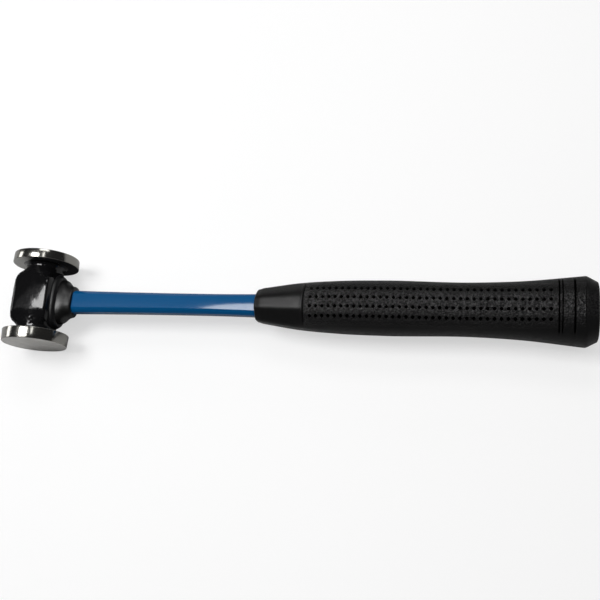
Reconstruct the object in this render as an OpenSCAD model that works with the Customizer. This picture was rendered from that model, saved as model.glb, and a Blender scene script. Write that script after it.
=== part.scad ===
// Double-faced auto-body hammer lying on its side.
// +X runs from the head to the butt of the grip, +Y along the head towards the thin face, +Z is up.
// Lengths along the handle are counted from the head's own axis, then everything is placed at once.

/* [Head] */
// Radius of both round faces
disc_r = 19.05; // [16:0.05:20]
// Distance from the handle's axis to the thin face
top_face = 27.3; // [27:0.1:34]
// Thickness of the thin disc
top_disc = 5.4; // [4:0.1:7]
// Distance from the handle's axis to the thick face
low_face = 25.9; // [25.5:0.1:34]
// Thickness of the thick disc
low_disc = 6.8; // [5:0.1:8]
// Radius of the necks between the discs and the eye block
neck_r = 10.8; // [9:0.1:12]
// Half thickness of the eye block, cheek to cheek
cheek_z = 13; // [10:0.1:13]

/* [Handle] */
// Half height of the handle at the head
handle_hy = 6.65; // [6:0.05:7.2]
// Half thickness of the handle
handle_hz = 4.4; // [4:0.1:5]
// Radius of the handle's long edges
handle_edge = 2.8; // [2:0.1:3.2]
// How much the handle's half height shrinks at its waist
waist_drop = 0.7; // [0:0.05:1]
// Distance from the head's axis to the waist
waist_x = 104; // [90:1:115]

/* [Grip] */
// Where the grip's nose begins
grip_start = 132.3; // [128:0.1:140]
// Where the chamfer at the butt begins
grip_rim = 308.5; // [300:0.1:312]
// End of the butt
grip_end = 315.3; // [314:0.1:325]
// Half height of the butt's rim
butt_hy = 18.4; // [16:0.1:19]
// Thickness of the grip as a share of its height
grip_oval = 0.9; // [0.8:0.01:1]
// Depth of the two finger grooves near the butt
groove_depth = 0.7; // [0.4:0.1:1]

/* [Hidden] */
$fn = 96;

// Head
edge_round = 0.5;
top_rim_taper = 0.2;
low_rim_taper = 0.4;
neck_fillet = 3;
block_y = (top_face - low_face) / 2;
block_back = -14.5;
block_front = 10.6;
block_hy = 15.6;
block_corner = 7;
cheek_edge = 3.5;
cheek_hy = 9;
cheek_fall = 5.4;
boss_hy = 16.3;
boss_hz = 9.4;
shoulder_x = 12.6;
seat_x = 14;
seat_hy = 14.2;
seat_hz = 8;

// Eye: wider at the outer end, so that the cured resin is a wedge
eye_c = 2.4;
eye_r_out = 6.6;
eye_r_in = 5.4;

// Collar: half heights and half thicknesses at its four stations
collar_x = [14, 16.8, 19.2, 22.2];
collar_hy = [13.6, 12.4, 9.8, 9.2];
collar_hz = [7.6, 7.1, 6.3, 5.9];
slice = 0.05;

// How far a cutting shape runs past the surface that it cuts
overshoot = 1;

// Handle
handle_tail = 300;
waist_end = 134;
tail_rise = 0.35;
tail_hy = handle_hy - waist_drop + tail_rise;
waist_rings = 9;

// Grip outline: stations of distance and half height, joined by a smooth curve
grip_stations = [[137, 9.8], [158, 12.8], [180, 14.4], [204, 14.9], [252, 14.37], [276, 15.3], [308.5, 18.4]];
body_start = 137;
body_end = 291;
body_rings = 28;
sides = 40;
nose_hy = 7.7;
nose_round = 1.6;
butt_inset = 3.1;
butt_crown = 1;
groove_w = 1.5;
groove_wall = 0.3;
groove_stop = 0.45;
groove_x = [296.2, 302.3];

// The origin is under the middle of the whole hammer, on the surface that it lies on
origin_x = (grip_end - disc_r) / 2;
origin_y = block_y;

function slope(s, i) = i == 0 ? (s[1][1] - s[0][1]) / (s[1][0] - s[0][0])
    : i == len(s) - 1 ? (s[i][1] - s[i - 1][1]) / (s[i][0] - s[i - 1][0])
    : (s[i + 1][1] - s[i - 1][1]) / (s[i + 1][0] - s[i - 1][0]);

function hermite(s, i, t) = let (w = s[i + 1][0] - s[i][0], a = slope(s, i) * w, b = slope(s, i + 1) * w)
    s[i][1] * (1 + 2 * t) * pow(1 - t, 2) + a * t * pow(1 - t, 2)
    + s[i + 1][1] * t * t * (3 - 2 * t) + b * t * t * (t - 1);

function skin_hy(x) = let (s = grip_stations, i = max([for (k = [0 : len(s) - 2]) if (k == 0 || s[k][0] <= x) k]))
    hermite(s, i, (x - s[i][0]) / (s[i + 1][0] - s[i][0]));

// A point on a ring [distance, half height, in a groove or not]; the grooves stop short of the grip's edges
function grip_point(ring, angle) = let (deep = abs(sin(angle)) > groove_stop ? ring[2] * groove_depth : 0)
    [ring[0], (ring[1] - deep) * cos(angle), (ring[1] - deep) * grip_oval * sin(angle)];

function arc(x, y, r, from, to, steps) = [for (k = [0 : steps])
    let (a = from + (to - from) * k / steps) [x + r * cos(a), y + r * sin(a)]];

// Half height of the handle at x: falls to the waist and rises a little towards the grip
function bar_hy(x) = x <= collar_x[3] ? handle_hy
    : x <= waist_x ? handle_hy - waist_drop * (1 - pow((waist_x - x) / (waist_x - collar_x[3]), 2))
    : x <= waist_end ? tail_hy - tail_rise * (1 - pow((x - waist_x) / (waist_end - waist_x), 2))
    : tail_hy;

// The handle's section at x as a ring of points: a rectangle with round corners
function bar_ring(x, hy) = [for (corner = [[1, 1, 0], [-1, 1, 90], [-1, -1, 180], [1, -1, 270]])
    for (p = arc(corner[0] * (hy - handle_edge), corner[1] * (handle_hz - handle_edge), handle_edge,
        corner[2], corner[2] + 90, 6)) [x, p[0], p[1]]];

module place() {
    translate([-origin_x, -origin_y, disc_r]) children();
}

// A flat rounded rectangle: w wide, h high
module rounded_rect(w, h, r) {
    square([w - 2 * r, h], center = true);
    square([w, h - 2 * r], center = true);
    for (sx = [-1, 1], sy = [-1, 1]) translate([sx * (w / 2 - r), sy * (h / 2 - r)]) circle(r);
}

// An oval prism across the handle: half height hy along Y, half thickness hz along Z
module oval_bar(x0, x1, hy, hz, r) {
    translate([x0, 0, 0]) rotate([90, 0, 90]) linear_extrude(x1 - x0) rounded_rect(2 * hy, 2 * hz, r);
}

// A thin oval that ends at x, to be joined to others by a hull
module oval_slice(x, hy, hz) {
    oval_bar(x - slice, x, hy, hz, hz * 0.94, $fn = 32);
}

// The eye's tapered slot: two cones and the wedge between them
module eye_slot(x0, x1) {
    run = seat_x - block_back;
    r0 = eye_r_out + (eye_r_in - eye_r_out) * (x0 - block_back) / run;
    r1 = eye_r_out + (eye_r_in - eye_r_out) * (x1 - block_back) / run;
    for (side = [-1, 1]) translate([x0, side * eye_c, 0]) rotate([0, 90, 0]) cylinder(x1 - x0, r0, r1);
    rotate([90, 0, 0]) translate([0, 0, -eye_c]) linear_extrude(2 * eye_c)
        polygon([[x0, -r0], [x1, -r1], [x1, r1], [x0, r0]]);
}

// Handle section where it is buried in the head, the collar or the grip
module handle_bar(x0, x1, hy) {
    oval_bar(x0, x1, hy, handle_hz, handle_edge);
}

// One closed surface through a list of rings, which all have the same number of points
module ring_solid(rings) {
    count = len(rings);
    around = len(rings[0]);
    polyhedron(
        points = [for (ring = rings) for (p = ring) p],
        faces = concat(
            [[for (k = [around - 1 : -1 : 0]) k]],
            [for (i = [0 : count - 2], k = [0 : around - 1]) let (next = (k + 1) % around)
                [i * around + k, i * around + next, (i + 1) * around + next, (i + 1) * around + k]],
            [[for (k = [0 : around - 1]) (count - 1) * around + k]]));
}

module disc_and_necks() {
    low_in = -low_face + low_disc;
    top_in = top_face - top_disc;
    rotate([-90, 0, 0]) rotate_extrude() polygon(concat(
        [[0, -low_face]],
        arc(disc_r - low_rim_taper - edge_round, -low_face + edge_round, edge_round, -90, 0, 4),
        arc(disc_r - edge_round, low_in - edge_round, edge_round, 0, 90, 4),
        arc(neck_r + neck_fillet, low_in + neck_fillet, neck_fillet, 270, 180, 8),
        arc(neck_r + neck_fillet, top_in - neck_fillet, neck_fillet, 180, 90, 8),
        arc(disc_r - edge_round, top_in + edge_round, edge_round, -90, 0, 4),
        arc(disc_r - top_rim_taper - edge_round, top_face - edge_round, edge_round, 0, 90, 4),
        [[0, top_face]]));
}

// Eye block: a thick rounded slab with a raised cheek on each side, blended by flat chamfers
module eye_block() {
    long = block_front - block_back;
    mid = (block_front + block_back) / 2;
    waist_z = cheek_z - cheek_fall;
    hull() {
        translate([mid, 0, -waist_z]) linear_extrude(2 * waist_z, $fn = 32)
            rounded_rect(long, 2 * block_hy, block_corner);
        translate([mid, 0, -cheek_z]) linear_extrude(2 * cheek_z, $fn = 32)
            rounded_rect(long - 2 * cheek_edge, 2 * cheek_hy, cheek_edge);
    }
}

// Oval boss on the handle's side, with a sloping shoulder down to the collar's seat
module handle_boss() {
    hull() {
        oval_bar(0, shoulder_x, boss_hy, boss_hz, boss_hz * 0.94, $fn = 32);
        oval_slice(seat_x, seat_hy, seat_hz);
    }
}

module hammer_head() {
    color("dimgray") place() difference() {
        union() {
            disc_and_necks();
            translate([0, block_y, 0]) eye_block();
            handle_boss();
        }
        eye_slot(block_back - overshoot, seat_x + overshoot);
    }
}

module eye_resin() {
    color("darkslategray") place() difference() {
        eye_slot(block_back, seat_x);
        handle_bar(block_back - overshoot, seat_x + overshoot, handle_hy);
    }
}

module collar() {
    color("black") place() difference() {
        for (i = [0 : len(collar_x) - 2]) hull() {
            oval_slice(collar_x[i] + slice, collar_hy[i], collar_hz[i]);
            oval_slice(collar_x[i + 1], collar_hy[i + 1], collar_hz[i + 1]);
        }
        handle_bar(collar_x[0] - overshoot, collar_x[3] + overshoot, handle_hy);
    }
}

module handle() {
    stations = concat([block_back],
        [for (k = [0 : waist_rings]) collar_x[3] + k * (waist_end - collar_x[3]) / waist_rings],
        [handle_tail]);
    color("steelblue") place() ring_solid([for (x = stations) bar_ring(x, bar_hy(x))]);
}

// Outer skin of the grip: oval rings from the nose to the butt
module grip_skin() {
    rings = concat(
        [for (p = arc(grip_start + nose_round, nose_hy, nose_round, 180, 90, 4)) [p[0], p[1], 0]],
        [for (k = [0 : body_rings]) let (x = body_start + k * (body_end - body_start) / body_rings)
            [x, skin_hy(x), 0]],
        [for (gx = groove_x, edge = [[-1, 1, 0], [-1, 0, 1], [1, 0, 1], [1, 1, 0]])
            let (x = gx + edge[0] * (groove_w / 2 + edge[1] * groove_wall)) [x, skin_hy(x), edge[2]]],
        [[grip_rim, butt_hy, 0], [grip_end - butt_crown, butt_hy - butt_inset, 0],
            [grip_end, butt_hy - butt_inset - butt_crown, 0]]);
    ring_solid([for (ring = rings) [for (k = [0 : sides - 1]) grip_point(ring, 360 * k / sides)]]);
}

module grip() {
    color("#202022") place() difference() {
        grip_skin();
        handle_bar(grip_start - overshoot, handle_tail, tail_hy);
    }
}

hammer_head();
eye_resin();
collar();
handle();
grip();
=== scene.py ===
"""Looks of a double-faced body hammer lying on its side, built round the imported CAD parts.

Lengths are in millimetres from the hammer's own origin, where the head's axis crosses the handle's axis:
X runs to the butt, Y along the head to the thin face, Z up. row() turns them into the part's frame.
"""

import math  # noqa: E402

import bpy  # noqa: E402
import numpy as np  # noqa: E402
from mathutils import Matrix, Vector  # noqa: E402

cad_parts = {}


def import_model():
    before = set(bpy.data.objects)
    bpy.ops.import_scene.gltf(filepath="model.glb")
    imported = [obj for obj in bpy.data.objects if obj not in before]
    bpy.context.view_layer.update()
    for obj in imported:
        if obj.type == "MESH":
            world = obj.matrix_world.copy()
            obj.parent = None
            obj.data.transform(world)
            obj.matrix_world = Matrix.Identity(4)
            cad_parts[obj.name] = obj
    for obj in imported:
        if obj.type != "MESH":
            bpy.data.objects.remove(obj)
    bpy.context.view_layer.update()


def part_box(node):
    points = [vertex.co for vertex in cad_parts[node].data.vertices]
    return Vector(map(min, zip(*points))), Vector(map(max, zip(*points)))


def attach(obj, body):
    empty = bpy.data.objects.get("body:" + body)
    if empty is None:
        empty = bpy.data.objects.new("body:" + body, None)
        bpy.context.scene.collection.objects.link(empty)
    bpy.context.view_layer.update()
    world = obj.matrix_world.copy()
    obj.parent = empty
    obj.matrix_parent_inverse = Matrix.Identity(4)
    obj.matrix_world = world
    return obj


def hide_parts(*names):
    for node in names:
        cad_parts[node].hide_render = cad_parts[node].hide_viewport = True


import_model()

MM = 0.001

# ---------------------------------------------------------------- places taken from the CAD frame
head_low, head_high = (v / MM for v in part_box("hammer_head"))
bar_low, bar_high = (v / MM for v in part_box("handle"))
grip_low, grip_high = (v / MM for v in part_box("grip"))
collar_low, collar_high = (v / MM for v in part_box("collar"))

DISC_R = (head_high.z - head_low.z) / 2
ORIGIN = Vector((head_low.x + DISC_R, (bar_low.y + bar_high.y) / 2, head_low.z + DISC_R))
THIN_FACE = head_high.y - ORIGIN.y
THICK_FACE = ORIGIN.y - head_low.y
BLOCK_BACK = bar_low.x - ORIGIN.x
BAR_HY = (bar_high.y - bar_low.y) / 2
BAR_HZ = (bar_high.z - bar_low.z) / 2
COLLAR_START = collar_low.x - ORIGIN.x
COLLAR_END = collar_high.x - ORIGIN.x
COLLAR_HY = (collar_high.y - collar_low.y) / 2
COLLAR_HZ = (collar_high.z - collar_low.z) / 2
GRIP_START = grip_low.x - ORIGIN.x
GRIP_END = grip_high.x - ORIGIN.x
GRIP_HY = (grip_high.y - grip_low.y) / 2
GRIP_OVAL = (grip_high.z - grip_low.z) / (grip_high.y - grip_low.y)


def row(points):
    """Hammer millimetres to the part's frame in metres."""
    return (np.asarray(points, float) + np.array(ORIGIN)) * MM


# ---------------------------------------------------------------- meshes
def new_object(name, verts, faces, sharp_angle=40):
    """A smooth mesh whose edges stay sharp above sharp_angle degrees."""
    mesh = bpy.data.meshes.new(name)
    mesh.from_pydata([tuple(v) for v in verts], [], faces)
    mesh.validate()
    mesh.polygons.foreach_set("use_smooth", [True] * len(mesh.polygons))
    mesh.set_sharp_from_angle(angle=math.radians(sharp_angle))
    mesh.update()
    obj = bpy.data.objects.new(name, mesh)
    bpy.context.scene.collection.objects.link(obj)
    return obj


def loft(name, rings, sharp_angle=40):
    """A closed surface through rings of points (rings x around x 3), with flat ends."""
    rings = np.asarray(rings, float)
    count, around = rings.shape[:2]
    faces = [tuple(range(around - 1, -1, -1))]
    for i in range(count - 1):
        for k in range(around):
            n = (k + 1) % around
            faces.append((i * around + k, i * around + n, (i + 1) * around + n, (i + 1) * around + k))
    faces.append(tuple(range((count - 1) * around, count * around)))
    return new_object(name, row(rings.reshape(-1, 3)), faces, sharp_angle)


def ramp(value, low, high):
    """0 at low, 1 at high, eased at both ends; low may be the larger one."""
    t = np.clip((value - low) / (high - low), 0, 1)
    return t * t * (3 - 2 * t)


def corner_arc(cx, cy, r, start, end, steps):
    """Points of an arc from start to end degrees."""
    angles = np.radians(np.linspace(start, end, steps + 1))
    return np.stack([cx + r * np.cos(angles), cy + r * np.sin(angles)], 1)


def oval_ring(x, hy, hz, r, steps=10):
    """The outline of a rectangle with round corners, hy by hz in half sizes, standing across the handle."""
    parts = []
    for sy, sz, start in ((1, 1, 0), (-1, 1, 90), (-1, -1, 180), (1, -1, 270)):
        parts.append(corner_arc(sy * (hy - r), sz * (hz - r), r, start, start + 90, steps))
    outline = np.concatenate(parts)
    return np.column_stack([np.full(len(outline), x), outline])


def egg_ring(x, hy, hz, power, count=72):
    """The outline of a squared ellipse standing across the handle."""
    angles = np.linspace(0, 2 * math.pi, count, endpoint=False)
    c, s = np.cos(angles), np.sin(angles)
    r = ((np.abs(c) / hy) ** power + (np.abs(s) / hz) ** power) ** (-1 / power)
    return np.column_stack([np.full(count, x), r * c, r * s])


def roll(ring, degrees):
    """Turn a ring about the handle's axis."""
    a = math.radians(degrees)
    y, z = ring[:, 1].copy(), ring[:, 2].copy()
    ring[:, 1] = y * math.cos(a) + z * math.sin(a)
    ring[:, 2] = z * math.cos(a) - y * math.sin(a)
    return ring


def lathe(name, profile, segments=160, sharp_angle=35):
    """A solid turned about the head's axis: profile is (radius, height along Y), from low to high."""
    angles = np.linspace(0, 2 * math.pi, segments, endpoint=False)
    c, s = np.cos(angles), np.sin(angles)
    rings = [np.stack([r * s, np.full(segments, y), r * c], 1) for r, y in profile]
    return loft(name, rings, sharp_angle)


# ---------------------------------------------------------------- materials
def new_material(name):
    """An empty material with one Principled shader."""
    mat = bpy.data.materials.new(name)
    mat.use_nodes = True
    nodes = mat.node_tree.nodes
    nodes.clear()
    out = nodes.new("ShaderNodeOutputMaterial")
    shader = nodes.new("ShaderNodeBsdfPrincipled")
    mat.node_tree.links.new(shader.outputs[0], out.inputs[0])
    return mat, shader


class Graph:
    """Short names for the nodes that the materials share."""

    def __init__(self, mat):
        self.tree = mat.node_tree
        self.place = self.add("ShaderNodeTexCoord").outputs["Object"]

    def product(self, a, b):
        return self.math("MULTIPLY", a, b)

    def add(self, kind, **settings):
        node = self.tree.nodes.new(kind)
        for key, value in settings.items():
            setattr(node, key, value)
        return node

    def link(self, source, target):
        self.tree.links.new(source, target)

    def math(self, operation, a, b=None):
        node = self.add("ShaderNodeMath", operation=operation)
        for socket, value in zip(node.inputs, (a, b)):
            if value is None:
                continue
            if isinstance(value, (int, float)):
                socket.default_value = value
            else:
                self.link(value, socket)
        return node.outputs[0]

    def smooth(self, value, low, high, to_low=0.0, to_high=1.0):
        node = self.add("ShaderNodeMapRange", interpolation_type="SMOOTHSTEP")
        for socket, number in zip(node.inputs[1:5], (low, high, to_low, to_high)):
            socket.default_value = number
        self.link(value, node.inputs[0])
        return node.outputs[0]

    def axes(self, offset=(0, 0, 0), scale=(1, 1, 1)):
        """The point in hammer millimetres, shifted and stretched."""
        move = self.add("ShaderNodeMapping")
        move.inputs["Scale"].default_value = [s / MM for s in scale]
        start = (ORIGIN + Vector(offset)) * MM
        move.inputs["Location"].default_value = [-start[i] * scale[i] / MM for i in range(3)]
        self.link(self.place, move.inputs["Vector"])
        return move.outputs[0]

    def split(self, vector):
        node = self.add("ShaderNodeSeparateXYZ")
        self.link(vector, node.inputs[0])
        return node.outputs

    def noise(self, vector, scale, detail=3.0, roughness=0.5):
        node = self.add("ShaderNodeTexNoise")
        node.inputs["Scale"].default_value = scale
        node.inputs["Detail"].default_value = detail
        node.inputs["Roughness"].default_value = roughness
        self.link(vector, node.inputs["Vector"])
        return node.outputs["Fac"]

    def cells(self, vector, scale):
        node = self.add("ShaderNodeTexVoronoi")
        node.inputs["Scale"].default_value = scale
        self.link(vector, node.inputs["Vector"])
        return node.outputs["Distance"]

    def mix(self, factor, first, second):
        """A colour between two; first and second are colours or sockets."""
        node = self.add("ShaderNodeMix", data_type="RGBA")
        self.link(factor, node.inputs[0])
        for socket, value in zip((node.inputs[6], node.inputs[7]), (first, second)):
            if isinstance(value, tuple):
                socket.default_value = (*value, 1)
            else:
                self.link(value, socket)
        return node.outputs[2]

    def bump(self, height, distance_mm, strength):
        node = self.add("ShaderNodeBump")
        node.inputs["Strength"].default_value = strength
        node.inputs["Distance"].default_value = distance_mm * MM
        self.link(height, node.inputs["Height"])
        return node.outputs[0]


RUBBER_DARK = (0.0055, 0.0055, 0.006)
RUBBER_PALE = (0.009, 0.0088, 0.0085)
HOLLOW_PAINTED_SHADE = (0.001, 0.001, 0.001)
PANEL_EDGE = (12.5, 9.5)
WORN_EDGE = (8.5, 2.5)
BLUE_DEEP = (0.0003, 0.062, 0.185)
BLUE_LIGHT = (0.0008, 0.09, 0.245)
BLUE_CLOUD = (0.0005, 0.075, 0.215)
ENAMEL_DARK = (0.003, 0.003, 0.0034)
ENAMEL_PALE = (0.006, 0.006, 0.0065)
BOSS_PAINT = (10.6, 11.6)
RESIN_DARK = (0.012, 0.012, 0.012)
RESIN_PALE = (0.03, 0.029, 0.027)
COLLAR_DARK = (0.003, 0.003, 0.003)
COLLAR_PALE = (0.0045, 0.0044, 0.0042)
STEEL_DULL = (0.66, 0.645, 0.615)
STEEL_BRIGHT = (0.78, 0.765, 0.735)
STEEL_GRIND = (0.52, 0.51, 0.48)
STEEL_BACK = (0.4, 0.395, 0.375)
STEEL_RIM = (0.36, 0.352, 0.325)
SPRAY_AND_SHADE_BLACK = (0.006, 0.006, 0.0065)


def rubber_material():
    """Moulded black rubber: smooth nose, leathery panels with a shinier middle, and painted shade darkening
    the hollows.
    """
    mat, shader = new_material("rubber")
    g = Graph(mat)
    spot = g.axes()
    x, y, _ = g.split(spot)
    height = g.math("ABSOLUTE", y)
    past_nose = g.smooth(x, PANEL_START, PANEL_START + 1)
    on_panel = g.product(past_nose, g.smooth(height, *PANEL_EDGE))
    on_panel = g.product(on_panel, g.smooth(x, RIM_X, RIM_X - 1))
    leather = g.math("ADD", g.cells(spot, 1.0), g.product(g.noise(spot, 1.3, 4, 0.6), 1.1))
    fine = g.noise(spot, 5, 4, 0.65)
    grain = g.math("ADD", g.product(leather, on_panel), g.product(fine, 0.07))
    g.link(g.bump(grain, 0.75, 1.0), shader.inputs["Normal"])
    tone = g.mix(g.noise(spot, 0.12, 5, 0.6), RUBBER_DARK, RUBBER_PALE)
    # painted shade: the base colour turns near black down in the dimples and grooves, by how deep each
    # point sits in its hollow
    hollow = g.add("ShaderNodeAttribute", attribute_name="hollow").outputs["Fac"]
    g.link(g.mix(hollow, tone, HOLLOW_PAINTED_SHADE), shader.inputs["Base Color"])
    satin = g.smooth(g.noise(spot, 0.35, 4), 0.3, 0.7, 0.38, 0.46)
    on_nose = g.smooth(x, PANEL_START + 14, PANEL_START - 4)
    worn = g.product(past_nose, g.smooth(height, *WORN_EDGE))
    rough = g.math("SUBTRACT", satin, g.product(g.math("MAXIMUM", worn, on_nose), 0.1))
    g.link(g.math("ADD", rough, g.product(hollow, 0.5)), shader.inputs["Roughness"])
    speckle = g.smooth(g.noise(spot, 0.85, 3, 0.6), 0.36, 0.64, 0.15, 1.45)
    gloss = g.math("ADD", g.product(worn, g.product(speckle, 0.8)), 0.2)
    open_skin = g.math("SUBTRACT", 1.0, hollow)
    g.link(g.product(gloss, open_skin), shader.inputs["Specular IOR Level"])
    return mat


def fibreglass_material():
    """Blue pultruded fibreglass under a clear gloss skin, with faint lengthwise fibres."""
    mat, shader = new_material("fibreglass")
    g = Graph(mat)
    fibres = g.noise(g.axes(scale=(0.02, 1, 1)), 2.2, 5, 0.6)
    cloud = g.smooth(g.noise(g.axes(), 0.09, 3), 0.35, 0.7)
    shade = g.mix(fibres, BLUE_DEEP, BLUE_LIGHT)
    g.link(g.mix(cloud, shade, BLUE_CLOUD), shader.inputs["Base Color"])
    shader.inputs["Roughness"].default_value = 0.5
    shader.inputs["Specular IOR Level"].default_value = 0.05
    shader.inputs["Coat Weight"].default_value = 0.75
    shader.inputs["Coat Roughness"].default_value = 0.1
    waves = g.noise(g.axes(scale=(0.12, 1, 1)), 0.45, 3, 0.5)
    g.link(g.bump(waves, 0.05, 0.5), shader.inputs["Normal"])
    return mat


def enamel_material():
    """Black enamel on the forging: glossy on the block and the necks, satin on the boss."""
    mat, shader = new_material("enamel")
    g = Graph(mat)
    spot = g.axes()
    x, _, _ = g.split(spot)
    tone = g.mix(g.noise(spot, 0.4, 4), ENAMEL_DARK, ENAMEL_PALE)
    g.link(tone, shader.inputs["Base Color"])
    skin = g.smooth(g.noise(spot, 0.9, 4), 0.3, 0.75, 0.06, 0.16)
    boss = g.smooth(x, *BOSS_PAINT, 0, 0.32)
    g.link(g.math("ADD", skin, boss), shader.inputs["Roughness"])
    ripple = g.product(g.noise(spot, 0.7, 2), 0.8)
    orange_peel = g.product(g.noise(spot, 2.6, 3), 0.12)
    g.link(g.bump(g.math("ADD", ripple, orange_peel), 0.12, 0.3), shader.inputs["Normal"])
    shader.inputs["Specular IOR Level"].default_value = 0.42
    return mat


def satin_material(name, dark, pale, roughness, gloss):
    """Satin black plastic with a very fine grain."""
    mat, shader = new_material(name)
    g = Graph(mat)
    spot = g.axes()
    g.link(g.mix(g.noise(spot, 0.5, 4), dark, pale), shader.inputs["Base Color"])
    satin = g.smooth(g.noise(spot, 0.8, 4), 0.3, 0.7, roughness - 0.02, roughness + 0.03)
    g.link(satin, shader.inputs["Roughness"])
    g.link(g.bump(g.noise(spot, 2.2, 4, 0.6), 0.012, 0.5), shader.inputs["Normal"])
    shader.inputs["Specular IOR Level"].default_value = gloss
    return mat


def steel_material(face_y, back_y):
    """Ground steel: fine turned lines on the rim, a soft grind on the flat, black spray paint on the back
    round the neck, and painted shade in the same black over the back's +X side.
    """
    mat, shader = new_material("steel")
    g = Graph(mat)
    x, y, z = g.split(g.axes())
    radius = g.math("SQRT", g.math("ADD", g.product(x, x), g.product(z, z)))
    on_rim = g.smooth(radius, DISC_R - 0.75, DISC_R - 0.45)
    side = 1 if face_y > back_y else -1
    on_back = g.smooth(g.product(y, side), side * back_y + 0.35, side * back_y + 0.05)
    turned = g.noise(g.axes(scale=(0.05, 14, 0.05)), 1.0, 4, 0.7)
    grind = g.noise(g.axes(scale=(0.12, 1, 3.5)), 1.6, 5, 0.7)
    blotch = g.noise(g.axes(), 0.16, 4, 0.55)
    bare = g.mix(g.smooth(blotch, 0.3, 0.75), STEEL_DULL, STEEL_BRIGHT)
    bare = g.mix(g.product(g.smooth(grind, 0.35, 0.75), 0.35), bare, STEEL_GRIND)
    bare = g.mix(on_back, bare, STEEL_BACK)
    bare = g.mix(on_rim, bare, STEEL_RIM)
    # black on the back: real spray paint round the neck, widened over the +X side by painted shade that
    # stands in for the dark reflection of the shadowed floor under the head
    rag = g.product(g.math("SUBTRACT", g.noise(g.axes(), 0.35, 4, 0.6), 0.5), 2.2)
    shade_shift = g.smooth(x, -6, 6, 0, SHADE_DRIFT)
    reach = g.math("SUBTRACT", g.math("ADD", radius, rag), shade_shift)
    spray_and_shade = g.smooth(reach, NECK_PAINT_R + 0.35, NECK_PAINT_R - 0.35)
    spray_and_shade = g.product(spray_and_shade, on_back)
    g.link(g.mix(spray_and_shade, bare, SPRAY_AND_SHADE_BLACK), shader.inputs["Base Color"])
    g.link(g.math("SUBTRACT", 1.0, spray_and_shade), shader.inputs["Metallic"])
    rough = g.add("ShaderNodeMix", data_type="FLOAT")
    g.link(on_rim, rough.inputs[0])
    g.link(g.smooth(grind, 0.3, 0.7, 0.3, 0.42), rough.inputs[2])
    g.link(g.smooth(turned, 0.3, 0.7, 0.1, 0.2), rough.inputs[3])
    g.link(g.math("ADD", rough.outputs[0], g.product(spray_and_shade, 0.45)), shader.inputs["Roughness"])
    lines = g.math("ADD", g.product(turned, on_rim), g.product(grind, 0.5))
    g.link(g.bump(lines, 0.012, 0.6), shader.inputs["Normal"])
    return mat


# ---------------------------------------------------------------- head
THIN_DISC = 5.4
THICK_DISC = 6.8
THIN_BACK = THIN_FACE - THIN_DISC
THICK_BACK = -THICK_FACE + THICK_DISC
NECK_R = 10.8
NECK_FLARE = 2.4
SUNK = 1.2
BLOCK_LEFT = BLOCK_BACK - 0.8
BLOCK_RIGHT = 11.8
BLOCK_MID_Y = 0.7
BLOCK_HY = 16.8
BLOCK_POWER = 3.4
CHEEK_Z = 13.1
CHEEK_MIDDLE = (4, 2)
CHEEK_CROWN_R = 120
CHEEK_TWIST = 0.0055
BOSS_HY = 16.3
BOSS_HZ = 9.4
BOSS_POWER = 2.4
EYE_REACH = 2.4
EYE_R_OUT = 6.6
EYE_R_IN = 5.4
NET_STEP = 0.36
NECK_PAINT_R = 12.6
# how far the painted shade widens the black on each disc's back towards +X
SHADE_DRIFT = 7.5
RIM_ROUND = 0.3
THIN_TAPER = 0.2
THICK_TAPER = 0.4
DISC_CORE_R = 2.0
DISC_MID_R = 12.0
RELAX_ROUNDS = 5


def disc(name, back_y, face_y, taper):
    """A round face of the head: a short turned cylinder, a little narrower at its striking face."""
    way = 1 if face_y > back_y else -1
    r_face = DISC_R - taper
    profile = [(DISC_CORE_R, back_y), (DISC_R - RIM_ROUND, back_y)]
    for degrees in (30, 60, 90):
        inset = RIM_ROUND * (1 - math.sin(math.radians(degrees)))
        rise = RIM_ROUND * (1 - math.cos(math.radians(degrees)))
        profile.append((DISC_R - inset, back_y + way * rise))
    for degrees in (0, 30, 60, 90):
        inset = RIM_ROUND * (1 - math.cos(math.radians(degrees)))
        rise = RIM_ROUND * (1 - math.sin(math.radians(degrees)))
        profile.append((r_face - inset, face_y - way * rise))
    profile += [(DISC_MID_R, face_y), (DISC_CORE_R, face_y)]
    if way < 0:
        profile.reverse()
    return lathe(name, profile)


def smooth_max(a, b, k):
    """The larger of two fields, with the crease between them rounded over about k."""
    h = np.clip(0.5 + 0.5 * (a - b) / k, 0, 1)
    return b * (1 - h) + a * h + k * h * (1 - h)


def smooth_min(a, b, k):
    """The smaller of two fields, with the crease between them filled over about k."""
    return -smooth_max(-a, -b, k)


def stadium(y, z, reach, r):
    """Distance to a section with two round ends, whose centres stand reach either side of the middle."""
    return np.hypot(np.maximum(np.abs(y) - reach, 0), z) - r


def neck_field(x, y, z):
    """A round neck that flares where it meets each disc."""
    gap = np.minimum(THIN_BACK - y, y - THICK_BACK)
    t = np.clip(gap / NECK_FLARE, 0, 1)
    r = NECK_R + NECK_FLARE * (1 - np.sqrt(1 - (1 - t) ** 2))
    return np.maximum(np.hypot(x, z) - r, -gap - SUNK)


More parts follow.
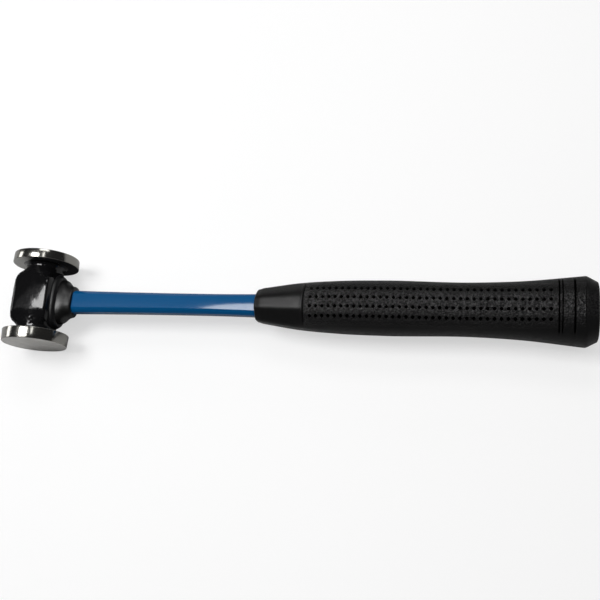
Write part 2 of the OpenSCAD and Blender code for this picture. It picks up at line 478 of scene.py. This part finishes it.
def block_field(x, y, z):
    """The eye block: a rounded outline, bevelled towards two slightly crowned cheeks."""
    mid_x = (BLOCK_LEFT + BLOCK_RIGHT) / 2
    half_x = (BLOCK_RIGHT - BLOCK_LEFT) / 2
    along_x = np.abs((x - mid_x) / half_x) ** BLOCK_POWER
    along_y = np.abs((y - BLOCK_MID_Y) / BLOCK_HY) ** BLOCK_POWER
    outline = ((along_x + along_y) ** (1 / BLOCK_POWER) - 1) * half_x
    rise = np.abs(z) - CHEEK_Z
    dx = x - CHEEK_MIDDLE[0]
    dy = y - CHEEK_MIDDLE[1]
    crown = (dx ** 2 + dy ** 2) / (2 * CHEEK_CROWN_R) - CHEEK_TWIST * dx * dy
    cheek = rise + crown
    top = 0.362 * (y - 10.3) + 0.932 * (rise + 0.3)
    bottom = -0.33 * (y + 8) + 0.944 * (rise + 0.6)
    right = 0.89 * (x - 10) + 0.456 * (rise + 0.3)
    left = -0.765 * (x + 11.3) + 0.644 * (rise + 0.9)
    bevels = smooth_max(smooth_max(top, bottom, 0.6), smooth_max(right, left, 0.6), 1.4)
    shell = smooth_max(cheek, bevels, 0.8)
    return smooth_max(shell, outline, 3.0)


def boss_field(x, y, z):
    """The oval boss on the handle's side, which rounds off to the collar's seat."""
    hy = BOSS_HY - np.interp(x, (11.0, 12.2, 13.2, COLLAR_START), (0, 0.5, 1.2, 2.0))
    hz = BOSS_HZ - np.interp(x, (12.4, 12.6, COLLAR_START), (0, 0.2, 1.7))
    reach = ((np.abs(y) / hy) ** BOSS_POWER + (np.abs(z) / hz) ** BOSS_POWER) ** (1 / BOSS_POWER)
    skin = (reach - 1) * hz
    return np.maximum(smooth_max(skin, x - COLLAR_START, 0.4), -x)


def eye_field(x, y, z):
    """The eye: a long hole along the handle that narrows towards the collar."""
    t = (x - BLOCK_BACK) / (COLLAR_START - BLOCK_BACK)
    return stadium(y, z, EYE_REACH, EYE_R_OUT + (EYE_R_IN - EYE_R_OUT) * t)


def lumps(x, y, z):
    """Low forged waves, always the same; the small ones stay off the cheeks and the boss."""
    broad = np.sin(0.62 * x + 0.35 * y + 1.1) * np.sin(0.55 * y - 0.4 * z + 0.4)
    broad += np.sin(0.48 * z + 0.3 * x + 2.0)
    small = np.sin(1.9 * x + 0.8 * z) * np.sin(1.7 * y + 0.6 * x + 0.9) * np.sin(1.5 * z + 0.5 * y)
    small *= ramp(np.abs(z), CHEEK_Z - 0.4, CHEEK_Z - 1.6) * ramp(x, 11, 9)
    return 0.02 * broad + 0.09 * small


def surface_net(field, low, step):
    """Points and four-sided faces along the zero level of a field on an even grid."""
    cells = np.array(field.shape) - 1
    total = np.zeros((*cells, 3))
    count = np.zeros(cells)
    for corner in np.ndindex(2, 2, 2):
        for axis in range(3):
            if corner[axis]:
                continue
            other = [c + (i == axis) for i, c in enumerate(corner)]
            a = field[tuple(slice(c, c + n) for c, n in zip(corner, cells))]
            b = field[tuple(slice(c, c + n) for c, n in zip(other, cells))]
            cross = (a < 0) != (b < 0)
            total[cross] += corner
            total[..., axis][cross] += a[cross] / (a[cross] - b[cross])
            count[cross] += 1
    used = count > 0
    index = np.full(cells, -1)
    index[used] = np.arange(used.sum())
    verts = low + step * (np.argwhere(used) + total[used] / count[used][:, None])
    inside = field < 0
    faces = []
    for axis in range(3):
        u, w = np.eye(3, dtype=int)[[(axis + 1) % 3, (axis + 2) % 3]]
        first = [slice(1, -1)] * 3
        first[axis] = slice(0, -1)
        second = list(first)
        second[axis] = slice(1, None)
        start = 1 - np.eye(3, dtype=int)[axis]
        at = np.argwhere(inside[tuple(first)] != inside[tuple(second)]) + start
        corners = (at - u - w, at - w, at, at - u)
        quad = np.stack([index[tuple(corner.T)] for corner in corners], 1)
        out = inside[tuple(at.T)]
        faces += quad[out].tolist() + quad[~out][:, ::-1].tolist()
    return verts, faces


def relax(verts, faces, rounds):
    """Even out the stepping that the grid leaves, by moving each point towards its neighbours."""
    ends = np.array(faces)
    pairs = np.concatenate([ends[:, [i, (i + 1) % 4]] for i in range(4)])
    pairs = np.concatenate([pairs, pairs[:, ::-1]])
    degree = np.bincount(pairs[:, 0], minlength=len(verts))[:, None]
    for _ in range(rounds):
        around = np.zeros_like(verts)
        for axis in range(3):
            near = verts[pairs[:, 1], axis]
            around[:, axis] = np.bincount(pairs[:, 0], weights=near, minlength=len(verts))
        verts = 0.4 * verts + 0.6 * around / degree
    return verts


def forging():
    """The painted middle of the head: eye block, necks and boss, blended as one forging."""
    low = np.array([BLOCK_LEFT - 1.5, THICK_BACK - SUNK - 1, -CHEEK_Z - 1.5])
    high = np.array([COLLAR_START + 1.5, THIN_BACK + SUNK + 1, CHEEK_Z + 1.5])
    counts = np.ceil((high - low) / NET_STEP).astype(int) + 1
    lines = [low[i] + NET_STEP * np.arange(counts[i]) for i in range(3)]
    x, y, z = np.meshgrid(*lines, indexing="ij")
    body = smooth_min(block_field(x, y, z), neck_field(x, y, z), 3.0)
    body = smooth_min(body, boss_field(x, y, z), 0.5)
    body += lumps(x, y, z)
    body = np.maximum(body, np.maximum(y - THIN_BACK - SUNK, THICK_BACK - SUNK - y))
    body = smooth_max(body, -eye_field(x, y, z), 0.4)
    verts, faces = surface_net(body, low, NET_STEP)
    return new_object("forging", row(relax(verts, faces, RELAX_ROUNDS)), faces, 70)


# ---------------------------------------------------------------- handle, resin and collar
# along the collar: distance from its start, then how far it has narrowed in Y and in Z
COLLAR_SHAPE = ((-0.2, 0.0, 0.0), (0.3, 0.0, 0.0), (1.4, 0.35, 0.12), (2.7, 1.0, 0.35),
                (3.6, 1.9, 0.55), (4.4, 2.8, 0.75), (5.1, 3.45, 0.92), (5.9, 3.9, 1.1),
                (7.0, 4.2, 1.35), (7.75, 4.35, 1.55), (8.0, 4.5, 1.7), (8.15, 4.8, 2.0))
COLLAR_POWER = 2.3
WAIST_X = 104
WAIST_DROP = 0.7
TAIL_RISE = 0.35
WAIST_END = 134
FACET_Y = 2.4
FACET_Z = 2.5
FACET_BULGE = 0.63
CROWN_LOW = 0.02
CROWN_RISE = 0.16
HEAD_ROLL = 3.5
ROLL_LOST = 2.6
ROLL_FADE = (88, 138)
HIDDEN_BAR_END = 150.0


def bar_hy(x):
    """Half height of the handle at x, as in the CAD part."""
    tail = BAR_HY - WAIST_DROP + TAIL_RISE
    if x <= COLLAR_END:
        return BAR_HY
    if x <= WAIST_X:
        return BAR_HY - WAIST_DROP * (1 - ((WAIST_X - x) / (WAIST_X - COLLAR_END)) ** 2)
    if x <= WAIST_END:
        return tail - TAIL_RISE * (1 - ((x - WAIST_X) / (WAIST_END - WAIST_X)) ** 2)
    return tail


def bar_ring(x, inset=0.0):
    """The handle's section at x: two broad faces, two edges and four narrow facets between them."""
    hy, hz = bar_hy(x) - inset, BAR_HZ - inset
    face = hy - FACET_Y
    edge = hz - FACET_Z
    broad = np.linspace(face, -face, 9)
    fade = float(ramp(x, *ROLL_FADE))
    crown = CROWN_LOW + CROWN_RISE * fade
    t = np.linspace(0, 1, 6)[1:-1]
    bulge = FACET_BULGE * t * (1 - t)
    front = np.column_stack([broad, hz - crown * (broad / face) ** 2])
    low = front[-1, 1]
    slope = np.column_stack([-face - FACET_Y * t - bulge, low - (low - edge) * t + bulge])
    side = np.column_stack([np.full(3, -hy), np.linspace(edge, -edge, 3)])
    half = np.concatenate([front, slope, side, slope[::-1] * [1, -1]])
    outline = np.concatenate([half, -half])
    ring = np.column_stack([np.full(len(outline), x), outline])
    return roll(ring, HEAD_ROLL - ROLL_LOST * fade)


def handle_bar():
    """The handle from the outer side of the eye to inside the grip."""
    seen = list(np.linspace(COLLAR_END - 2, WAIST_END, 40))
    stations = [BLOCK_BACK + 0.4] + seen + [HIDDEN_BAR_END]
    rings = [bar_ring(BLOCK_BACK + 0.05, 0.3)] + [bar_ring(x) for x in stations]
    return loft("handle_bar", rings, 13)


def resin_end():
    """The resin wedge round the handle in the eye, seen as a flush ring on the head's outer side."""
    outer_hy = EYE_REACH + EYE_R_OUT
    inner_hy = EYE_REACH + EYE_R_IN
    rings = [oval_ring(BLOCK_BACK + 0.12, outer_hy - 0.3, EYE_R_OUT - 0.3, EYE_R_OUT - 0.5),
             oval_ring(BLOCK_BACK + 0.5, outer_hy, EYE_R_OUT, EYE_R_OUT - 0.2),
             oval_ring(COLLAR_START - 0.5, inner_hy, EYE_R_IN, EYE_R_IN - 0.2)]
    return loft("resin_wedge", rings, 50)


def collar():
    """Satin collar at the mouth of the eye: a rounded shoulder that narrows to a short sleeve."""
    rings = []
    for x, dy, dz in COLLAR_SHAPE:
        ring = egg_ring(COLLAR_START + x, COLLAR_HY - dy, COLLAR_HZ - dz, COLLAR_POWER)
        rings.append(roll(ring, HEAD_ROLL))
    return loft("collar_sleeve", rings, 50)


# ---------------------------------------------------------------- grip
NOSE_HY = 7.5
NOSE_ROUND = 1.6
RIM_X = 308.5
BUTT_INSET = 3.1
BUTT_CROWN = 1.0
PANEL_START = 161.6
NOSE_START = GRIP_START + 0.9
# distance along the grip and its half height there
GRIP_STATIONS = ((137, 9.8), (158, 12.8), (180, 14.4), (204, 14.9), (252, 14.37), (276, 15.3),
                 (RIM_X, GRIP_HY))
DIMPLE_START = 165.7
DIMPLE_PITCH = 3.483
DIMPLE_COLUMNS = 37
DIMPLE_ROWS = 4
ROW_SPACING = 5.2
ROW_MIDDLE = (DIMPLE_ROWS - 1) / 2
DIMPLE_R = 0.95
DIMPLE_DEPTH = 1.5
DIMPLE_WALL = 0.26
DIMPLE_STEP = 0.27
DIMPLE_REACH = DIMPLE_R + 0.13
LAND_STEP = 0.45
PANEL_HALF = 10.6
CAP_COLUMNS = 22
FULL_PANEL_HY = 13.6
OVAL_POWER = 2.25
FACET_POWER = 22
FACET_CUT = 0.74
OCTAGON_END = PANEL_START + 16
OCTAGON_FADE = 22
OCTAGON_SHARE = 0.85
CHAMFER_SOFT = 0.12
MOUTH_SHRINK = 0.9
GROOVES = ((295.1, 0.75), (296.8, 0.65), (302.8, 1.0))
GROOVE_DEPTH = 0.8
GROOVE_WALL = 0.2
LIP_RISE = 0.12
GUTTER_DEPTH = 0.4
# the domed end: share of the last ring's size and share of BUTT_CROWN
BUTT_END = ((0.985, 0.14), (0.955, 0.33), (0.91, 0.5), (0.8, 0.68), (0.6, 0.86), (0.35, 0.96), (0.1, 1.0))


def skin_hy(x):
    """Half height of the grip: a smooth curve through its stations."""
    s = np.array(GRIP_STATIONS)
    slopes = np.gradient(s[:, 1], s[:, 0])
    i = int(np.clip(np.searchsorted(s[:, 0], x, side="right") - 1, 0, len(s) - 2))
    w = s[i + 1, 0] - s[i, 0]
    t = (x - s[i, 0]) / w
    return (s[i, 1] * (1 + 2 * t) * (1 - t) ** 2 + slopes[i] * w * t * (1 - t) ** 2
            + s[i + 1, 1] * t * t * (3 - 2 * t) + slopes[i + 1] * w * t * t * (t - 1))


def spread(low, high, step):
    """Evenly spaced numbers from low up to, but not including, high."""
    count = max(1, round((high - low) / step))
    return list(np.linspace(low, high, count, endpoint=False))


def dimple_places():
    """Sample places along the grip: close together at each column of dimples, wider between them."""
    places = []
    for n in range(DIMPLE_COLUMNS):
        middle = DIMPLE_START + n * DIMPLE_PITCH
        far = middle + DIMPLE_REACH
        places += spread(middle - DIMPLE_REACH, far, DIMPLE_STEP)
        places += spread(far, middle + DIMPLE_PITCH - DIMPLE_REACH, LAND_STEP)
    return places


def grip_places():
    """Every sample place along the grip, from the round nose to the start of the domed end."""
    nose_end = NOSE_START + NOSE_ROUND
    places = list(nose_end - NOSE_ROUND * np.cos(np.radians(np.linspace(0, 90, 7))))
    places += spread(nose_end + 0.5, PANEL_START - 2, 0.8)
    places += spread(PANEL_START - 2, DIMPLE_START - 0.85, 0.15)
    places += dimple_places()
    places += spread(places[-1] + LAND_STEP, RIM_X - 0.5, 0.22)
    places += spread(RIM_X - 0.5, RIM_X + 0.5, 0.12)
    places += spread(RIM_X + 0.5, GRIP_END - BUTT_CROWN, 0.6)
    places.append(GRIP_END - BUTT_CROWN)
    return np.array(sorted(places))


def body_half_height(x):
    """Half height anywhere along the grip: round nose, straight neck, smooth body and chamfer."""
    nose_end = NOSE_START + NOSE_ROUND
    if x < nose_end:
        lift = 1 - (x - NOSE_START) / NOSE_ROUND
        return NOSE_HY + NOSE_ROUND * math.sqrt(max(0.0, 1 - lift * lift))
    first_x, first_hy = GRIP_STATIONS[0]
    if x < first_x:
        start = NOSE_HY + NOSE_ROUND
        return start + (first_hy - start) * (x - nose_end) / (first_x - nose_end)
    chamfer = GRIP_HY - BUTT_INSET * (x - RIM_X) / (GRIP_END - BUTT_CROWN - RIM_X)
    body = skin_hy(min(x, RIM_X))
    under_body = math.exp(-body / CHAMFER_SOFT)
    under_chamfer = math.exp(-(chamfer + CHAMFER_SOFT) / CHAMFER_SOFT)
    return -CHAMFER_SOFT * math.log(under_body + under_chamfer)


def section(hy, hz, octagon):
    """The grip's section as a radius at each angle: an oval, or a soft octagon towards the nose."""
    angles = np.radians(np.linspace(0, 360, 721))
    c, s = np.abs(np.cos(angles)) / hy, np.abs(np.sin(angles)) / hz
    oval = (c ** OVAL_POWER + s ** OVAL_POWER) ** (-1 / OVAL_POWER)
    corners = (FACET_CUT * (c + s)) ** FACET_POWER
    facets = (c ** FACET_POWER + s ** FACET_POWER + corners) ** (-1 / FACET_POWER)
    return angles, oval * (1 - octagon) + facets * octagon


def grip_columns():
    """Heights of the mesh columns on one textured side, close together at each row of dimples."""
    rows = [(i - ROW_MIDDLE) * ROW_SPACING for i in range(DIMPLE_ROWS)]
    ends = [row_y - DIMPLE_REACH for row_y in rows[1:]] + [PANEL_HALF]
    heights = spread(-PANEL_HALF, rows[0] - DIMPLE_REACH, 0.6)
    for middle, end in zip(rows, ends):
        heights += spread(middle - DIMPLE_REACH, middle + DIMPLE_REACH, DIMPLE_STEP)
        heights += spread(middle + DIMPLE_REACH, end, 0.5)
    return np.array(heights + [PANEL_HALF])


def grip_ring(x, columns):
    """The grip's outline at x: two textured sides with the given columns, joined by two round edges."""
    hy = body_half_height(x)
    octagon = float(np.clip((OCTAGON_END - x) / OCTAGON_FADE, 0, 1)) ** 1.3 * OCTAGON_SHARE
    angles, r = section(hy, hy * GRIP_OVAL, octagon)
    quarter = slice(0, 181)
    side_y = r[quarter] * np.cos(angles[quarter])
    side_z = r[quarter] * np.sin(angles[quarter])
    ys = columns * min(1.0, hy / FULL_PANEL_HY)
    zs = np.interp(np.abs(ys), side_y[::-1], side_z[::-1])
    last = math.atan2(zs[-1], abs(ys[-1]))
    cap = np.linspace(math.pi - last, math.pi + last, CAP_COLUMNS + 2)[1:-1]
    cap_r = np.interp(cap, angles, r)
    bottom = np.stack([cap_r * np.cos(cap), cap_r * np.sin(cap)], 1)
    front = np.stack([ys[::-1], zs[::-1]], 1)
    back = np.stack([ys, -zs], 1)
    ring = np.concatenate([front, bottom, back, -bottom])
    return np.column_stack([np.full(len(ring), x), ring])


def grip_sleeve():
    """The grip with its relief cut in, and an attribute that says how deep in a hollow each point is; the
    rubber paints shade into the hollows by it.
    """
    columns = grip_columns()
    grid = np.array([grip_ring(x, columns) for x in grip_places()])
    depth = relief(grid)
    grid -= depth[..., None] * grid_normals(grid)
    mouth = grid[0] * [0, MOUTH_SHRINK, MOUTH_SHRINK] + [NOSE_START, 0, 0]
    crown = [grid[-1] * [1, size, size] + [rise * BUTT_CROWN, 0, 0] for size, rise in BUTT_END]
    sleeve = loft("grip_sleeve", np.concatenate([[mouth], grid, crown]), 75)
    hollow = np.zeros((1 + len(grid) + len(crown), grid.shape[1]))
    hollow[1:1 + len(grid)] = ramp(depth, 0.1, 0.5)
    sleeve.data.attributes.new("hollow", "FLOAT", "POINT").data.foreach_set("value", hollow.ravel())
    return sleeve


def grid_normals(grid):
    """The outward direction at each point of the grid."""
    along = np.gradient(grid, axis=0)
    around = np.roll(grid, -1, axis=1) - np.roll(grid, 1, axis=1)
    n = np.cross(around, along)
    n /= np.linalg.norm(n, axis=2, keepdims=True)
    outward = np.sign((n * (grid * [0, 1, 1])).sum(2, keepdims=True))
    return n * outward


def relief(grid):
    """How far each point of the grip sinks below its smooth skin."""
    x, y, z = grid[..., 0], grid[..., 1], grid[..., 2]
    column = np.clip(np.round((x - DIMPLE_START) / DIMPLE_PITCH), 0, DIMPLE_COLUMNS - 1)
    dx = x - DIMPLE_START - column * DIMPLE_PITCH
    line = np.clip(np.round(y / ROW_SPACING + ROW_MIDDLE), 0, DIMPLE_ROWS - 1)
    dy = y - (line - ROW_MIDDLE) * ROW_SPACING
    on_side = np.abs(z) > 0.3 * np.abs(y)
    sunk = DIMPLE_DEPTH * ramp(np.hypot(dx, dy), DIMPLE_R, DIMPLE_R - DIMPLE_WALL) * on_side
    stop = ramp(np.abs(y) / np.hypot(y, z), 0.84, 0.8)
    for middle, width in GROOVES:
        across = ramp(np.abs(x - middle), (width + GROOVE_WALL) / 2, (width - GROOVE_WALL) / 2)
        sunk = np.maximum(sunk, GROOVE_DEPTH * across * stop)
    lip = LIP_RISE * ramp(x, PANEL_START - 1.6, PANEL_START - 0.9)
    lip *= ramp(x, PANEL_START + 0.1, PANEL_START - 0.5)
    gutter = GUTTER_DEPTH * ramp(np.abs(x - PANEL_START - 0.3), 0.5, 0.05)
    fade = ramp(np.abs(y), 11.5, 9.5)
    return sunk + (gutter - lip) * fade


# ---------------------------------------------------------------- build the visible pieces
def dress(obj, node, material):
    """Give a piece its material, hang it under the root body and hide the CAD node that it stands for."""
    obj.data.materials.append(material)
    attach(obj, "root")
    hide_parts(node)


dress(disc("thin_disc", THIN_BACK, THIN_FACE, THIN_TAPER), "hammer_head",
      steel_material(THIN_FACE, THIN_BACK))
dress(disc("thick_disc", THICK_BACK, -THICK_FACE, THICK_TAPER), "hammer_head",
      steel_material(-THICK_FACE, THICK_BACK))
dress(forging(), "hammer_head", enamel_material())
dress(resin_end(), "eye_resin", satin_material("resin", RESIN_DARK, RESIN_PALE, 0.4, 0.5))
dress(collar(), "collar", satin_material("collar", COLLAR_DARK, COLLAR_PALE, 0.33, 0.42))
dress(handle_bar(), "handle", fibreglass_material())
dress(grip_sleeve(), "grip", rubber_material())


# ---------------------------------------------------------------- floor, lights and camera
FLOOR_HALF = 15.0
FLOOR_DARK = (0.40, 0.40, 0.40)
FLOOR_PALE = (0.43, 0.43, 0.43)
FLOOR_LIFT = 0.57
STUDIO_DARK = (0.035, 0.035, 0.036, 1)
STUDIO_WHITE = (0.95, 0.95, 0.95, 1)


def floor():
    """A mid grey floor that glows for the camera only, so that it looks white and reflects grey."""
    size = FLOOR_HALF
    corners = [(-size, -size, 0), (size, -size, 0), (size, size, 0), (-size, size, 0)]
    obj = new_object("floor", corners, [(0, 1, 2, 3)])
    mat, shader = new_material("floor")
    g = Graph(mat)
    g.link(g.mix(g.noise(g.place, 3, 3), FLOOR_DARK, FLOOR_PALE), shader.inputs["Base Color"])
    shader.inputs["Roughness"].default_value = 0.9
    shader.inputs["Emission Color"].default_value = (1, 1, 1, 1)
    path = g.add("ShaderNodeLightPath")
    g.link(g.product(path.outputs["Is Camera Ray"], FLOOR_LIFT), shader.inputs["Emission Strength"])
    obj.data.materials.append(mat)


def softbox(name, azimuth, elevation, distance, width, height, radiance):
    """A rectangular light aimed at the head, in degrees and metres.

    Azimuth turns from +Z towards +X, elevation rises towards +Y, and radiance is how bright it looks.
    """
    a, e = math.radians(azimuth), math.radians(elevation)
    way = Vector((math.sin(a) * math.cos(e), math.sin(e), math.cos(a) * math.cos(e)))
    light = bpy.data.lights.new(name, "AREA")
    light.shape = "RECTANGLE"
    light.size = width
    light.size_y = height
    light.energy = radiance * math.pi * width * height
    obj = bpy.data.objects.new(name, light)
    bpy.context.scene.collection.objects.link(obj)
    right = Vector((0, 1, 0)).cross(way).normalized()
    turn = Matrix((right, way.cross(right), way)).transposed().to_4x4()
    obj.matrix_world = Matrix.Translation(ORIGIN * MM + way * distance) @ turn
    return obj


def world():
    """A dark studio for reflections, white behind the hammer for the camera."""
    studio = bpy.data.worlds.new("studio")
    bpy.context.scene.world = studio
    studio.use_nodes = True
    tree = studio.node_tree
    back = tree.nodes["Background"]
    path = tree.nodes.new("ShaderNodeLightPath")
    mix = tree.nodes.new("ShaderNodeMix")
    mix.data_type = "RGBA"
    mix.inputs[6].default_value = STUDIO_DARK
    mix.inputs[7].default_value = STUDIO_WHITE
    tree.links.new(path.outputs["Is Camera Ray"], mix.inputs[0])
    tree.links.new(mix.outputs[2], back.inputs["Color"])


# the camera in hammer millimetres, and the directions of its right and its up
CAMERA_AT = (275.12, -129.55, 475.65)
CAMERA_RIGHT = (0.97264, 0.07895, -0.2185)
CAMERA_UP = (-0.01656, 0.96166, 0.27376)
FOCAL_LENGTH = 55.09


def camera():
    """The camera of the main view, without depth of field."""
    data = bpy.data.cameras.new("camera")
    data.lens = FOCAL_LENGTH
    data.clip_start = 0.01
    obj = bpy.data.objects.new("camera", data)
    bpy.context.scene.collection.objects.link(obj)
    right = Vector(CAMERA_RIGHT).normalized()
    back = right.cross(Vector(CAMERA_UP)).normalized()
    up = back.cross(right)
    turn = Matrix((right, up, back)).transposed().to_4x4()
    obj.matrix_world = Matrix.Translation(Vector(row(CAMERA_AT))) @ turn
    bpy.context.scene.camera = obj


floor()
# name, azimuth, elevation, distance, width, height, radiance
softbox("main_box", -15, 6, 0.9, 0.38, 0.35, 13)
softbox("main_glow", -19, 6, 0.95, 0.7, 0.42, 0.3)
softbox("left_strip", -75, 10, 1.0, 0.26, 0.4, 3.5)
softbox("right_strip", 14.6, 12, 0.9, 0.07, 0.34, 4.0)
softbox("grip_box", 14, 36, 0.91, 0.45, 0.22, 4.0)
softbox("top_strip", 0, 62, 1.0, 0.7, 0.1, 1.2)
fill = softbox("fill", 30, 0, 1.6, 1.2, 1.2, 1.5)
fill.visible_glossy = False
world()
camera()
bpy.context.scene.view_settings.view_transform = "Standard"
